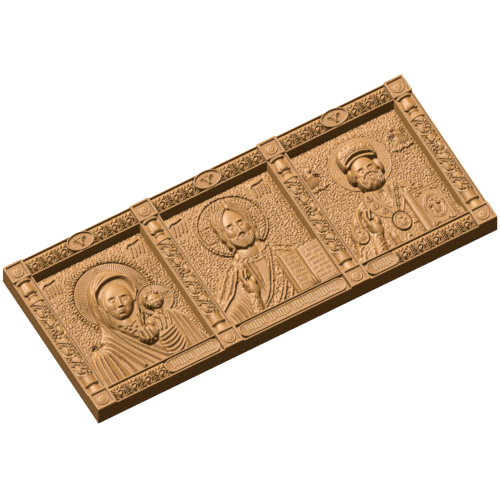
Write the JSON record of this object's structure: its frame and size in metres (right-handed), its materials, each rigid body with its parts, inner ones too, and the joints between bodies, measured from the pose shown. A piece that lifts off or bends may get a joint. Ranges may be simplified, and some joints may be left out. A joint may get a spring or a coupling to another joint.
{
  "type": "carved wooden icon triptych board",
  "caption": "One-piece carved wooden board with three sunk figure panels between half columns, leaf rails and square corner blocks.",
  "frame": {"origin": "middle of the board's flat back, on the surface that the board lies on", "axes": "+X along the board, left picture to right picture; +Y to the top of the pictures; +Z out of the carved front"},
  "size_m": [0.312, 0.131, 0.018],
  "materials": {
    "carved_wood": "satin oiled carving, tan with a brown tone in the deep cuts"
  },
  "bodies": {
    "root": {"carved_board": "carved_wood"}
  },
  "joints": []
}
